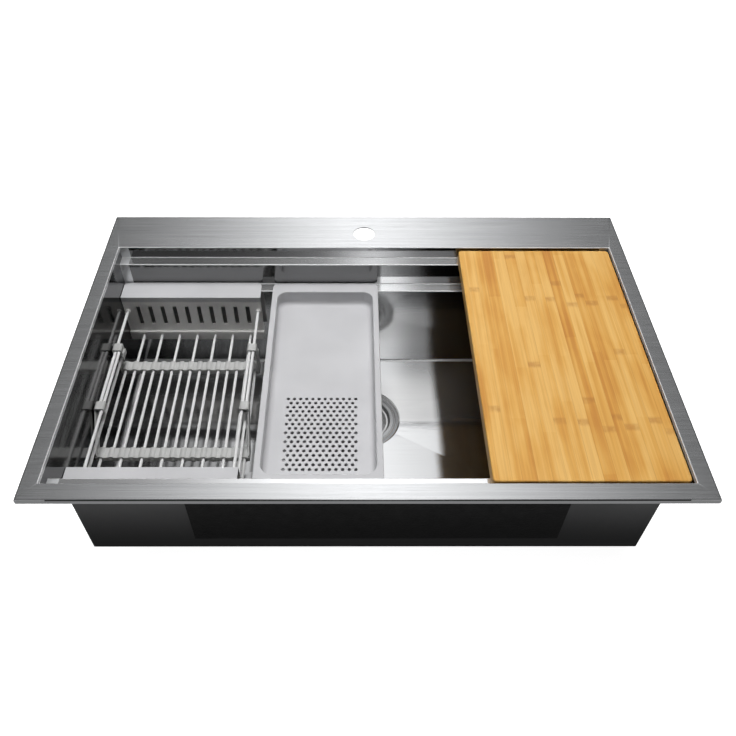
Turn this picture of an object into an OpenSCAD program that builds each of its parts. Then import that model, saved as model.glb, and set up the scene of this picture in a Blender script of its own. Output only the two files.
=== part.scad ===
// Drop-in workstation kitchen sink, in millimetres.
// The bowl is folded from steel sheet. Its front and rear walls step in twice, and the steps
// are ledges: a cutting board slides on the upper pair, a colander and a dish rack on the lower.
// X runs to the right, Y to the rear and Z up. The origin is the middle of the deck's outline,
// at the height of the worktop that the folded edge of the deck rests on.

/* [Deck] */
// Width of the deck, left to right
deck_w = 838.2; // [800:1:960]
// Depth of the deck, front to rear
deck_d = 558.8; // [530:1:600]
// Thickness of the steel sheet
sheet = 1.5; // [1:0.1:2]
// Height of the edge that is folded down round the deck
lip_h = 8; // [6:0.5:12]
// Width of the strip folded inwards under that edge
hem_w = 8; // [5:0.5:10]
// Width of the deck beside the bowl
side_rim = 22.8; // [22:0.2:40]
// Width of the deck in front of the bowl
front_rim = 24.1; // [23.5:0.2:40]
// Width of the deck behind the bowl
rear_deck = 83.7; // [70:1:100]
// Diameter of the tap hole
tap_hole_d = 35; // [28:1:40]
// Distance of the tap hole's centre from the rear edge
tap_setback = 47.1; // [42:0.5:50]

/* [Bowl] */
// Depth of the bowl below the deck
bowl_depth = 228.6; // [200:1:250]
// Depth of the upper ledges below the deck
upper_drop = 20.7; // [18:0.5:30]
// Depth of the lower ledges below the deck
lower_drop = 61; // [56:1:75]
// Width of each ledge on the rear wall
rear_ledge = 18.5; // [15:0.5:20]
// Width of each ledge on the front wall
front_ledge = 21; // [18:0.5:22]
// Fall of the floor from its edges to the drain
floor_fall = 6; // [3:0.5:10]
// Distance of the drain's centre from the lower rear wall
drain_setback = 130.7; // [110:1:180]

/* [Sound pads] */
// Thickness of the sound pads
pad_t = 2; // [1:0.5:4]
// Width of the front and rear pads
wall_pad_w = 521; // [300:1:560]
// Gap between the wall pads and the ledge above them
pad_head = 13; // [5:1:40]
// Height of the wall pads' lower edge above the bowl's underside
pad_lift = 27; // [10:1:40]
// Distance of the front and rear pads' middle to the right of the bowl's
pad_shift = 15.5; // [0:0.5:20]
// Length of the pads on the side walls
side_pad_l = 250; // [100:5:340]
// Length of each pad under the floor, left to right
floor_pad_l = 170; // [80:5:180]
// Width of the pads under the floor, front to rear
floor_pad_w = 150; // [80:5:150]
// Distance from the drain to the pads under the floor, left to right
floor_pad_gap = 200; // [195:1:205]

/* [Clip channels] */
// Width of the channels under the deck
channel_w = 7; // [6:0.5:8]
// Height of the channels
channel_h = 8; // [7:0.5:10]
// Thickness of the channels' steel
channel_t = 1; // [0.8:0.1:1.2]
// Width of the slot along each channel
channel_slot = 3; // [2:0.2:3.4]
// Distance of a channel's middle from the edge of the deck
channel_inset = 16; // [15.5:0.1:16.2]
// Length of the front and rear channels
long_channel = 700; // [400:10:700]
// Length of the side channels
side_channel = 400; // [200:10:400]

/* [Drain] */
// Diameter of the recess pressed into the floor
recess_d = 122; // [121:0.5:130]
// Depth of the recess below the lowest point of the floor
recess_depth = 3.5; // [3:0.1:5]
// Diameter of the drain hole in the floor
drain_hole_d = 90; // [89:0.2:92]
// Diameter of the strainer's flange
flange_d = 114; // [110:0.5:115]
// Outer diameter of the strainer's cup
strainer_d = 85; // [80:0.5:85.5]
// Wall of the strainer's cup
strainer_wall = 1.2; // [1:0.1:2]
// Depth of the strainer's cup below its flange
strainer_depth = 38; // [34:0.5:50]
// Outer diameter of the threaded outlet
outlet_d = 47.8; // [45:0.1:50]
// Wall of the outlet
outlet_wall = 3.4; // [2:0.1:4]
// Length of the outlet below the cup
outlet_l = 25; // [20:1:40]
// Thickness of the gasket under the flange
flange_gasket_t = 1.5; // [1:0.1:2.5]
// Thickness of the gasket below the floor
floor_gasket_t = 3; // [2:0.5:5]
// Thickness of the friction ring
friction_ring_t = 1; // [0.5:0.1:2]
// Height of the locknut
locknut_h = 9; // [7:0.5:12]
// Diameter of the locknut without its lugs
locknut_d = 110; // [100:1:114]
// Diameter of the basket's rubber stopper
stopper_d = 72.8; // [66:0.2:74]
// Diameter of the basket's post
post_d = 7.4; // [6:0.2:9]
// Diameter of the knob on the basket
knob_d = 22; // [18:0.5:28]
// Diameter of the basket's holes
basket_hole_d = 3.6; // [3:0.1:4.2]

/* [Cutting board] */
// Width of the board, left to right
board_w = 242; // [180:1:320]
// Thickness of the board
board_t = 18; // [15:0.5:20]
// Radius of the board's corners
board_r = 5; // [3:0.5:20]
// Gap between the board's ends and the walls above the ledges
board_end_gap = 4.2; // [2:0.2:8]
// Gap between the board and the right wall
board_side_gap = 2.5; // [2:0.1:30]

/* [Colander] */
// Width of the colander over its flange
colander_w = 172.5; // [120:0.5:200]
// Depth of the colander below the lower ledges
colander_depth = 25; // [20:1:100]
// Wall of the colander
colander_wall = 2.6; // [2:0.1:3]
// Thickness of the colander's flange
colander_flange_t = 2.6; // [2:0.1:3.5]
// Width of the flange at the front and rear
colander_end_flange = 21.6; // [20.6:0.2:24]
// Width of the flange at the sides
colander_side_flange = 9.2; // [5:0.2:12]
// Radius of the corners inside
colander_r = 16; // [8:1:30]
// Radius of the flange's outer corners
colander_flange_r = 7; // [4:0.5:12]
// Free length of the ledges in front of and behind the colander
colander_play = 12.2; // [8:0.2:13]
// Gap between the colander and the wall behind it
colander_rear_gap = 2; // [1.5:0.1:2.4]
// Gap between the colander and the dish rack
tray_gap = 19; // [18.5:0.5:30]
// Diameter of the drain holes
drip_hole_d = 5; // [3:0.2:5.4]
// Distance between neighbouring drain holes
hole_pitch = 9; // [8:0.5:14]
// Width of the field of drain holes
hole_field_w = 100; // [30:1:104]
// Length of the field of drain holes
hole_field_l = 128; // [30:1:260]
// Distance from the inside of the front wall to the field of holes
hole_field_set = 24; // [10:1:60]

/* [Dish rack] */
// Width of the rack
rack_w = 226.5; // [225:0.5:230]
// Depth of the rack below the lower ledges
rack_depth = 87; // [80:1:95]
// Gap between the rack and the left wall
rack_side_gap = 0.8; // [0.5:0.1:1.2]
// Free length of the ledges in front of and behind the rack
rack_play = 6.5; // [5.6:0.1:8]
// Gap between the rack and the wall behind it
rack_rear_gap = 1.5; // [1:0.1:2]
// Width of the rail at each end
rail_w = 37; // [34:0.5:40]
// Thickness of the rails
rail_t = 3.2; // [2:0.1:4]
// Radius of the rails' outer corners
rail_r = 8; // [3:0.5:10]
// Thickness of the end walls
end_wall = 3; // [2:0.1:4]
// Height of the thick band that the lower rods enter
band_h = 17; // [12:0.5:18]
// Thickness of that band in front of the end wall
band_t = 5; // [4:0.5:8]
// Diameter of the rods
rod_d = 4.5; // [4:0.1:4.6]
// Distance between neighbouring lower rods
rod_pitch = 15; // [14:0.1:15.2]
// Distance from an end's wall to the far face of the cross strip on its rods
strip_reach = 261; // [230:1:264]
// Width of the cross strips, front to rear
strip_w = 18; // [12:0.5:24]
// Height of the cross strips
strip_h = 13; // [11:0.5:14]
// Depth of the side rods below the lower ledges
side_rod_drop = 26; // [22:0.5:30]
// Depth of the middle rods below the lower ledges
mid_rod_drop = 47; // [42:0.5:52]
// Distance from the rear end's wall to the far face of the collars on its side rods
rear_collar_reach = 213; // [200:1:220]
// Distance from the front end's wall to the far face of the collars on its side rods
front_collar_reach = 251; // [240:1:256]
// Length of the collars
collar_l = 15; // [10:0.5:20]
// Height of the collars
collar_h = 11; // [9:0.5:12]
// Width of the slots in the end walls
slot_w = 7; // [4:0.5:10]
// Height of the slots
slot_h = 40; // [20:1:44]
// Depth of the slots' upper ends below the lower ledges
slot_drop = 16; // [10:1:18]
// Distance between neighbouring slots
slot_pitch = 20; // [18:0.5:22]

/* [Hidden] */

$fa = 4;
$fs = 0.4;

eps = 0.01;        // how far a cut runs past the face it leaves
fixed_fit = 0.02;  // radial gap of a piece that is fixed in its hole
loose_fit = 0.35;  // radial gap of a piece that slides in its hole
rest_gap = 0.2;    // gap under a piece that slides on a ledge

// Colours
steel = [0.74, 0.75, 0.76];
polished = [0.83, 0.84, 0.85];
pad_black = [0.09, 0.09, 0.10];
rubber_black = [0.14, 0.14, 0.15];
fibre = [0.78, 0.74, 0.66];
bamboo = [0.87, 0.68, 0.41];
tray_grey = [0.79, 0.79, 0.81];
strip_grey = [0.63, 0.66, 0.69];

// Heights: the worktop is at 0
deck_z = lip_h;
deck_under_z = deck_z - sheet;
upper_z = deck_z - upper_drop;
lower_z = deck_z - lower_drop;
floor_under_z = deck_z - bowl_depth;
floor_low_z = floor_under_z + sheet - floor_fall;

// Plan of the bowl: the faces inside it, from the deck down to the floor
side_x = deck_w / 2 - side_rim;
front_y = -deck_d / 2 + front_rim;
rear_y = deck_d / 2 - rear_deck;
front_mid_y = front_y + front_ledge;
rear_mid_y = rear_y - rear_ledge;
front_low_y = front_mid_y + front_ledge;
rear_low_y = rear_mid_y - rear_ledge;
mid_low_y = (front_low_y + rear_low_y) / 2;
pad_foot_z = floor_under_z + pad_lift;
pad_top_z = lower_z - sheet - pad_head;

// Drain: the strainer hangs in the recess
drain_y = rear_low_y - drain_setback;
recess_r = recess_d / 2;
seat_r = recess_r - 3;
seat_z = floor_low_z - recess_depth;
recess_under_z = seat_z - sheet;
flange_t = 1.2;
flange_z = seat_z + flange_gasket_t + flange_t;
flange_r = min(flange_d / 2, seat_r - 0.5);
strainer_r = strainer_d / 2;
cup_r = strainer_r - strainer_wall;
throat_r = strainer_r + 3;
throat_z = flange_z - 4.2;
bead_r = (flange_r + throat_r) / 2 + 1;
cup_foot_z = flange_z - strainer_depth;
outlet_r = outlet_d / 2;
outlet_bore_r = outlet_r - outlet_wall;
seat_fall = 7;
outlet_top_z = cup_foot_z - seat_fall;
outlet_end_z = outlet_top_z - outlet_l;
spider_t = 3;
floor_gasket_z = recess_under_z - floor_gasket_t;
friction_ring_z = floor_gasket_z - friction_ring_t;
locknut_z = friction_ring_z - locknut_h;
washer_in_r = drain_hole_d / 2;
washer_out_r = locknut_d / 2;

// Basket: its stopper lies just above the conical seat at the foot of the strainer's cup
stopper_r = stopper_d / 2;
stopper_h = 4.8;
stopper_z = cup_foot_z - seat_fall * (cup_r - stopper_r) / (cup_r - outlet_bore_r) + 0.3;
basket_foot_z = stopper_z + stopper_h;
basket_rim_z = throat_z - 0.6;
basket_rim_r = cup_r - 0.3;
basket_t = 0.8;
basket_top_r = basket_rim_r - 1.8;
basket_foot_r = stopper_r - 3.4;
post_r = post_d / 2;
knob_r = knob_d / 2;
knob_h = 8;
knob_top_z = flange_z - 1;
post_foot_z = outlet_top_z - spider_t - 4;
post_top_z = knob_top_z - 2.5;

// Cutting board
board_l = rear_y - front_y - 2 * board_end_gap;
board_x = side_x - board_side_gap - board_w / 2;

// Trays on the lower ledges, from the left wall to the right
tray_z = lower_z + rest_gap;
tray_space = rear_mid_y - front_mid_y;
rack_x = -side_x + rack_side_gap + rack_w / 2;
colander_x = rack_x + rack_w / 2 + tray_gap + colander_w / 2;
colander_l = tray_space - colander_play;
colander_y = rear_mid_y - colander_rear_gap - colander_l / 2;
colander_foot_z = lower_z - colander_depth;
colander_in_w = colander_w - 2 * colander_side_flange;
colander_in_l = colander_l - 2 * colander_end_flange;

// Dish rack: the inner edges of its two rails, the rods between them and what holds the rods
rack_in_rear_y = rear_mid_y - rack_rear_gap - rail_w;
rack_in_front_y = rear_mid_y - rack_rear_gap - (tray_space - rack_play) + rail_w;
rack_foot_z = lower_z - rack_depth;
rod_r = rod_d / 2;
low_rod_z = rack_foot_z + band_h / 2;
side_rod_z = lower_z - side_rod_drop;
mid_rod_z = lower_z - mid_rod_drop;
arm_t = 2.4;
arm_x = rack_w / 2 - 0.6;
rear_side_x = arm_x - arm_t - 0.6 - rod_r;
front_side_x = rear_side_x - rod_d - 1.1;
mid_rod_x = (rear_side_x + front_side_x) / 2;
low_rods = floor((rack_w / 2 - rod_r - 2) / rod_pitch);
even_rods = [for (k = [-low_rods:low_rods]) if (k % 2 == 0) k * rod_pitch];
odd_rods = [for (k = [-low_rods:low_rods]) if (k % 2 != 0) k * rod_pitch];
socket_floor = 1;
boss_l = 3.5;
boss_r = rod_r + 2;
eyelet_h = 9;
eyelet_wall = 1.7;
front_strip_y = rack_in_rear_y - strip_reach;
rear_strip_y = rack_in_front_y + strip_reach - strip_w;
rear_half_collar_y = rack_in_rear_y - rear_collar_reach;
front_half_collar_y = rack_in_front_y + front_collar_reach - collar_l;
slot_margin = 15;
slots_each_side = floor((rack_w / 2 - slot_margin - slot_w / 2) / slot_pitch + 0.5);

// ---- shared shapes ----

// A box centred in X and Y, between two heights
module centred_box(w, d, z0, z1) {
    translate([-w / 2, -d / 2, z0])
        cube([w, d, z1 - z0]);
}

// A flat rectangle with round corners, centred
module round_rect(w, d, r) {
    square([w - 2 * r, d], center = true);
    square([w, d - 2 * r], center = true);
    for (sx = [-1, 1], sy = [-1, 1])
        translate([sx * (w / 2 - r), sy * (d / 2 - r)])
            circle(r);
}

// A flat ring about the drain's axis, between two heights
module drain_ring(r_in, r_out, z0, z1) {
    translate([0, drain_y, z0])
        difference() {
            cylinder(h = z1 - z0, r = r_out);
            translate([0, 0, -eps])
                cylinder(h = z1 - z0 + 2 * eps, r = r_in);
        }
}

// A solid turned about the drain's axis from points [radius, height]
module drain_turned(points) {
    translate([0, drain_y, 0])
        rotate_extrude()
            polygon(points);
}

// A round bar along Y
module bar(x, z, y0, y1, r) {
    translate([x, y0, z])
        rotate([-90, 0, 0])
            cylinder(h = y1 - y0, r = r);
}

// An outline in Y and Z, drawn out along X
module across(x0, x1, points) {
    translate([x0, 0, 0])
        rotate([90, 0, 90])
            linear_extrude(x1 - x0)
                polygon(points);
}

// The shape and its mirror image about the plane x = 0
module both_sides() {
    children();
    mirror([1, 0, 0])
        children();
}

// ---- deck and bowl ----

module deck_flange() {
    color(steel)
        difference() {
            union() {
                centred_box(deck_w, deck_d, deck_under_z, deck_z);
                difference() {
                    centred_box(deck_w, deck_d, 0, deck_under_z + sheet / 2);
                    centred_box(deck_w - 2 * sheet, deck_d - 2 * sheet, sheet, deck_z);
                    centred_box(deck_w - 2 * hem_w, deck_d - 2 * hem_w, -eps, deck_z);
                }
            }
            translate([-side_x, front_y, deck_under_z - eps])
                cube([2 * side_x, rear_y - front_y, sheet + 2 * eps]);
            translate([0, deck_d / 2 - tap_setback, deck_under_z - eps])
                cylinder(h = sheet + 2 * eps, d = tap_hole_d);
        }
}

// The front or rear wall: each ledge steps in by the signed width, and the sheet lies outside
module folded_wall(y0, ledge, out) {
    y1 = y0 + ledge;
    y2 = y1 + ledge;
    across(-side_x, side_x, [
        [y0, deck_under_z], [y0, upper_z], [y1, upper_z], [y1, lower_z],
        [y2, lower_z], [y2, floor_under_z], [y2 + out, floor_under_z],
        [y2 + out, lower_z - sheet], [y1 + out, lower_z - sheet],
        [y1 + out, upper_z - sheet], [y0 + out, upper_z - sheet], [y0 + out, deck_under_z]
    ]);
}

// A flat side wall with the outline of the bowl's steps
module side_wall(x) {
    across(x, x + sheet, [
        [rear_y + sheet, deck_under_z], [rear_y + sheet, upper_z - sheet],
        [rear_mid_y + sheet, upper_z - sheet], [rear_mid_y + sheet, lower_z - sheet],
        [rear_low_y + sheet, lower_z - sheet], [rear_low_y + sheet, floor_under_z],
        [front_low_y - sheet, floor_under_z], [front_low_y - sheet, lower_z - sheet],
        [front_mid_y - sheet, lower_z - sheet], [front_mid_y - sheet, upper_z - sheet],
        [front_y - sheet, upper_z - sheet], [front_y - sheet, deck_under_z]
    ]);
}

module bowl_rear_wall() {
    color(steel)
        folded_wall(rear_y, -rear_ledge, sheet);
}

module bowl_front_wall() {
    color(steel)
        folded_wall(front_y, front_ledge, -sheet);
}

module bowl_left_wall() {
    color(steel)
        side_wall(-side_x - sheet);
}

module bowl_right_wall() {
    color(steel)
        side_wall(side_x);
}

// The space above a plane that rises from the drain, over the length given, to an edge on X
module above_slope(run) {
    reach = deck_w + deck_d;
    rotate([atan(floor_fall / run), 0, 0])
        translate([-reach, -reach, 0])
            cube([2 * reach, 2 * reach, reach]);
}

// The space above the floor's four slopes, which end at the walls at the height given
module above_floor(edge_z) {
    intersection() {
        translate([0, rear_low_y, edge_z])
            above_slope(rear_low_y - drain_y);
        translate([0, front_low_y, edge_z])
            rotate([0, 0, 180])
                above_slope(drain_y - front_low_y);
        translate([side_x, 0, edge_z])
            rotate([0, 0, -90])
                above_slope(side_x);
        translate([-side_x, 0, edge_z])
            rotate([0, 0, 90])
                above_slope(side_x);
    }
}

module bowl_floor() {
    dish_r = recess_r + 1.4;
    color(steel)
        difference() {
            union() {
                intersection() {
                    translate([-side_x, front_low_y, floor_under_z - floor_fall])
                        cube([2 * side_x, rear_low_y - front_low_y, sheet + floor_fall]);
                    above_floor(floor_under_z);
                }
                drain_turned([
                    [0, recess_under_z], [seat_r + 1, recess_under_z],
                    [dish_r, floor_low_z - sheet], [dish_r, floor_low_z + floor_fall / 2],
                    [0, floor_low_z + floor_fall / 2]
                ]);
            }
            above_floor(floor_under_z + sheet);
            drain_turned([
                [0, seat_z], [seat_r, seat_z], [recess_r, floor_low_z],
                [recess_r, floor_under_z + 2 * sheet], [0, floor_under_z + 2 * sheet]
            ]);
            translate([0, drain_y, recess_under_z - eps])
                cylinder(h = recess_depth + sheet, d = drain_hole_d);
        }
}

// A channel along X, open downwards through a slot, with its back at z = 0
module channel(l) {
    translate([-l / 2, 0, 0])
        rotate([90, 0, 90])
            linear_extrude(l)
                difference() {
                    translate([-channel_w / 2, -channel_h])
                        square([channel_w, channel_h]);
                    translate([-channel_w / 2 + channel_t, -channel_h + channel_t])
                        square([channel_w - 2 * channel_t, channel_h - 2 * channel_t]);
                    translate([-channel_slot / 2, -channel_h - eps])
                        square([channel_slot, channel_t + 2 * eps]);
                }
}

module clip_channels() {
    color(steel)
        translate([0, 0, deck_under_z])
            for (side = [-1, 1]) {
                translate([0, side * (deck_d / 2 - channel_inset), 0])
                    channel(long_channel);
                translate([side * (deck_w / 2 - channel_inset), mid_low_y, 0])
                    rotate([0, 0, 90])
                        channel(side_channel);
            }
}

// ---- sound pads, glued to the outside of the bowl ----

module wall_pad(y) {
    color(pad_black)
        translate([pad_shift - wall_pad_w / 2, y, pad_foot_z])
            cube([wall_pad_w, pad_t, pad_top_z - pad_foot_z]);
}

module front_sound_pad() {
    wall_pad(front_low_y - sheet - pad_t);
}

module rear_sound_pad() {
    wall_pad(rear_low_y + sheet);
}

module side_sound_pads() {
    color(pad_black)
        both_sides()
            translate([side_x + sheet, mid_low_y - side_pad_l / 2, pad_foot_z])
                cube([pad_t, side_pad_l, pad_top_z - pad_foot_z]);
}

module floor_sound_pads() {
    slope = atan(floor_fall / side_x);
    color(pad_black)
        both_sides()
            translate([side_x, drain_y - 0.6 * floor_pad_w, floor_under_z])
                rotate([0, -slope, 0])
                    translate([floor_pad_gap - side_x, 0, -pad_t])
                        cube([floor_pad_l, floor_pad_w, pad_t]);
}

// ---- drain ----

module strainer_body() {
    hub_r = post_r + 4;
    arm_w = 4;
    color(polished) {
        difference() {
            union() {
                drain_turned([
                    [flange_r, flange_z - flange_t], [flange_r, flange_z - 0.4],
                    [flange_r - 1, flange_z], [bead_r + 1.6, flange_z],
                    [bead_r + 0.6, flange_z + 0.5], [bead_r - 0.6, flange_z + 0.5],
                    [bead_r - 1.6, flange_z], [throat_r - 0.8, flange_z - 0.1],
                    [cup_r, throat_z], [cup_r, cup_foot_z], [outlet_bore_r, outlet_top_z],
                    [outlet_bore_r, outlet_end_z], [outlet_r, outlet_end_z],
                    [outlet_r, outlet_top_z - strainer_wall],
                    [strainer_r, cup_foot_z - strainer_wall],
                    [strainer_r, throat_z - 0.4], [throat_r, flange_z - flange_t]
                ]);
                translate([0, drain_y, outlet_top_z - spider_t]) {
                    cylinder(h = spider_t, r = hub_r);
                    for (a = [0, 90])
                        rotate([0, 0, a])
                            translate([-outlet_bore_r - 1, -arm_w / 2, 0])
                                cube([2 * outlet_bore_r + 2, arm_w, spider_t]);
                }
            }
            translate([0, drain_y, outlet_top_z - spider_t - eps])
                cylinder(h = spider_t + 2 * eps, r = post_r + 0.4);
        }
    }
}

module flange_gasket() {
    color(rubber_black)
        drain_ring(washer_in_r + 0.5, flange_r, seat_z, seat_z + flange_gasket_t);
}

module floor_gasket() {
    color(rubber_black)
        drain_ring(washer_in_r, washer_out_r, floor_gasket_z, recess_under_z);
}

module friction_ring() {
    color(fibre)
        drain_ring(washer_in_r, washer_out_r, friction_ring_z, floor_gasket_z);
}

module locknut() {
    lug_w = 8;
    lug_l = 3;
    color(polished) {
        drain_ring(strainer_r + 0.2, washer_out_r, locknut_z, friction_ring_z);
        translate([0, drain_y, locknut_z])
            for (a = [0:45:315])
                rotate([0, 0, a])
                    translate([washer_out_r - lug_l, -lug_w / 2, 0])
                        cube([2 * lug_l, lug_w, locknut_h]);
    }
}

// Holes on a circle in the basket's foot
module foot_holes(r, count) {
    for (i = [0:count - 1])
        rotate([0, 0, i * 360 / count])
            translate([r, 0, basket_foot_z - eps])
                cylinder(h = basket_t + 2 * eps, d = basket_hole_d);
}

// Holes round the basket's wall at one height
module wall_holes(z, count) {
    for (i = [0:count - 1])
        rotate([0, 0, i * 360 / count])
            translate([basket_foot_r - 4, 0, z])
                rotate([0, 90, 0])
                    cylinder(h = basket_rim_r - basket_foot_r + 6, d = basket_hole_d);
}

module basket_cup() {
    rise = basket_rim_z - basket_foot_z;
    color(polished)
        difference() {
            drain_turned([
                [post_r + fixed_fit, basket_foot_z], [basket_foot_r, basket_foot_z],
                [basket_top_r, basket_rim_z - basket_t], [basket_rim_r, basket_rim_z - basket_t],
                [basket_rim_r, basket_rim_z], [basket_top_r - basket_t, basket_rim_z],
                [basket_foot_r - basket_t, basket_foot_z + basket_t],
                [post_r + fixed_fit, basket_foot_z + basket_t]
            ]);
            translate([0, drain_y, 0]) {
                foot_holes(basket_foot_r * 0.38, 8);
                foot_holes(basket_foot_r * 0.60, 14);
                foot_holes(basket_foot_r * 0.82, 20);
                wall_holes(basket_foot_z + rise * 0.35, 22);
                wall_holes(basket_foot_z + rise * 0.65, 22);
            }
        }
}

module basket_stopper() {
    top = basket_foot_z;
    color(rubber_black)
        drain_turned([
            [post_r + fixed_fit, top], [stopper_r - 5, top], [stopper_r - 0.4, stopper_z + 1.6],
            [stopper_r, stopper_z], [stopper_r - 2.4, stopper_z], [stopper_r - 6, top - 2.2],
            [post_r + fixed_fit, top - 2.2]
        ]);
}

module basket_post() {
    color(polished)
        drain_turned([
            [0, post_foot_z], [post_r - 1, post_foot_z], [post_r, post_foot_z + 1],
            [post_r, post_top_z], [0, post_top_z]
        ]);
}

module basket_knob() {
    hole_r = post_r + fixed_fit;
    color(polished)
        drain_turned([
            [hole_r, knob_top_z - knob_h], [hole_r + 1.6, knob_top_z - knob_h],
            [hole_r + 2, knob_top_z - 4], [knob_r, knob_top_z - 3], [knob_r, knob_top_z - 1.4],
            [knob_r - 2, knob_top_z - 0.4], [knob_r - 6, knob_top_z], [0, knob_top_z],
            [0, post_top_z + fixed_fit], [hole_r, post_top_z + fixed_fit]
        ]);
}

// ---- cutting board and colander ----

module cutting_board() {
    color(bamboo)
        translate([board_x, (front_y + rear_y) / 2, upper_z + rest_gap])
            linear_extrude(board_t)
                round_rect(board_w, board_l, board_r);
}

// Drain holes in rows that lie half a step apart
module drip_holes() {
    row_pitch = hole_pitch * sin(60);
    rows = floor(hole_field_l / row_pitch);
    columns = floor(hole_field_w / hole_pitch);
    for (row = [0:rows], column = [0:columns - row % 2])
        translate([
            (column - (columns - row % 2) / 2) * hole_pitch,
            -colander_in_l / 2 + hole_field_set + row * row_pitch,
            colander_foot_z - eps
        ])
            cylinder(h = colander_wall + 2 * eps, d = drip_hole_d);
}

module colander() {
    out_w = colander_in_w + 2 * colander_wall;
    out_l = colander_in_l + 2 * colander_wall;
    top_z = tray_z + colander_flange_t;
    color(tray_grey)
        translate([colander_x, colander_y, 0])
            difference() {
                union() {
                    translate([0, 0, tray_z])
                        linear_extrude(colander_flange_t)
                            round_rect(colander_w, colander_l, colander_flange_r);
                    translate([0, 0, colander_foot_z])
                        linear_extrude(top_z - colander_foot_z)
                            round_rect(out_w, out_l, colander_r + colander_wall);
                }
                translate([0, 0, colander_foot_z + colander_wall])
                    linear_extrude(top_z - colander_foot_z)
                        round_rect(colander_in_w, colander_in_l, colander_r);
                drip_holes();
            }
}

// ---- dish rack: two halves that slide into each other, front to rear ----

// One end of the rack about its own middle: the rail reaches outwards along +Y from its wall.
// Rods given by their X enter blind holes in the band; side and middle rods enter bosses.
module rack_end(low_x, side_x_in, mid_x_in) {
    low_hole_r = rod_r + fixed_fit;
    boss_points = concat(
        [for (s = [-1, 1]) [s * side_x_in, side_rod_z]],
        [for (s = [-1, 1], m = mid_x_in) [s * m, mid_rod_z]]
    );
    difference() {
        union() {
            translate([0, 0, tray_z])
                linear_extrude(rail_t) {
                    translate([-rack_w / 2, 0])
                        square([rack_w, rail_w - rail_r]);
                    translate([0, rail_w / 2])
                        round_rect(rack_w, rail_w, rail_r);
                }
            translate([-rack_w / 2, 0, rack_foot_z])
                cube([rack_w, end_wall, tray_z + rail_t - rack_foot_z]);
            translate([-rack_w / 2, -band_t, rack_foot_z])
                cube([rack_w, band_t + end_wall / 2, band_h]);
            for (p = boss_points)
                bar(p[0], p[1], -boss_l, end_wall / 2, boss_r);
        }
        for (x = low_x)
            bar(x, low_rod_z, -band_t - eps, end_wall - socket_floor, low_hole_r);
        for (p = boss_points)
            bar(p[0], p[1], -boss_l - eps, end_wall - socket_floor, low_hole_r);
        for (i = [0.5:slots_each_side - 0.5], s = [-1, 1])
            translate([s * i * slot_pitch - slot_w / 2, -eps, lower_z - slot_drop - slot_h])
                cube([slot_w, end_wall + 2 * eps, slot_h]);
    }
}

// A strip across the lower rods, ribbed over each rod. Its own rods are fixed in it, and the
// other half's rods slide through it.
module cross_strip(y0, own_x, other_x) {
    plate_h = strip_h - 4;
    difference() {
        union() {
            translate([-arm_x, y0, low_rod_z - plate_h / 2])
                cube([2 * arm_x, strip_w, plate_h]);
            for (x = concat(own_x, other_x))
                bar(x, low_rod_z, y0, y0 + strip_w, strip_h / 2);
        }
        for (x = own_x)
            bar(x, low_rod_z, y0 - eps, y0 + strip_w + eps, rod_r + fixed_fit);
        for (x = other_x)
            bar(x, low_rod_z, y0 - eps, y0 + strip_w + eps, rod_r + loose_fit);
    }
}

// The plate that carries a collar above one end of a strip, from the strip's heights up
module strip_arm(strip_y, collar_y) {
    across(arm_x - arm_t, arm_x, [
        [strip_y, low_rod_z], [strip_y + strip_w, low_rod_z],
        [collar_y + collar_l, side_rod_z], [collar_y, side_rod_z]
    ]);
}

// The collar round both side rods, one fixed and one sliding
module side_collar(y0, rear_rod_fit, front_rod_fit) {
    in_x = front_side_x - rod_r - eyelet_wall;
    difference() {
        translate([in_x, y0, side_rod_z - collar_h / 2])
            cube([arm_x - in_x, collar_l, collar_h]);
        bar(rear_side_x, side_rod_z, y0 - eps, y0 + collar_l + eps, rod_r + rear_rod_fit);
        bar(front_side_x, side_rod_z, y0 - eps, y0 + collar_l + eps, rod_r + front_rod_fit);
    }
}

// The eyelet that holds the end of a middle rod beside an arm
module mid_eyelet(y0) {
    in_x = mid_rod_x - rod_r - eyelet_wall;
    difference() {
        translate([in_x, y0, mid_rod_z - eyelet_h / 2])
            cube([arm_x - in_x, strip_w, eyelet_h]);
        bar(mid_rod_x, mid_rod_z, y0 - eps, y0 + strip_w + eps, rod_r + fixed_fit);
    }
}

// Rods of one half: from the blind holes of the end at y0 (which faces the way given by dir)
// to the far faces of what they carry
module half_rods(y0, dir, low_x, low_y, side_rod_x, side_y, mid_y) {
    low_end = y0 + dir * (end_wall - socket_floor);
    for (x = low_x)
        bar(x, low_rod_z, min(low_end, low_y), max(low_end, low_y), rod_r);
    both_sides() {
        bar(side_rod_x, side_rod_z, min(low_end, side_y), max(low_end, side_y), rod_r);
        for (y = mid_y)
            bar(mid_rod_x, mid_rod_z, min(low_end, y), max(low_end, y), rod_r);
    }
}

module rack_rear_end() {
    color(tray_grey)
        translate([rack_x, rack_in_rear_y, 0])
            rack_end(even_rods, rear_side_x, []);
}

module rack_rear_rods() {
    color(polished)
        translate([rack_x, 0, 0])
            half_rods(rack_in_rear_y, 1, even_rods, front_strip_y, rear_side_x,
                rear_half_collar_y, []);
}

module rack_front_strip() {
    color(strip_grey)
        translate([rack_x, 0, 0]) {
            cross_strip(front_strip_y, even_rods, odd_rods);
            both_sides() {
                strip_arm(front_strip_y, rear_half_collar_y);
                side_collar(rear_half_collar_y, fixed_fit, loose_fit);
            }
        }
}

module rack_front_end() {
    color(tray_grey)
        translate([rack_x, rack_in_front_y, 0])
            mirror([0, 1, 0])
                rack_end(odd_rods, front_side_x, [mid_rod_x]);
}

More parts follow.
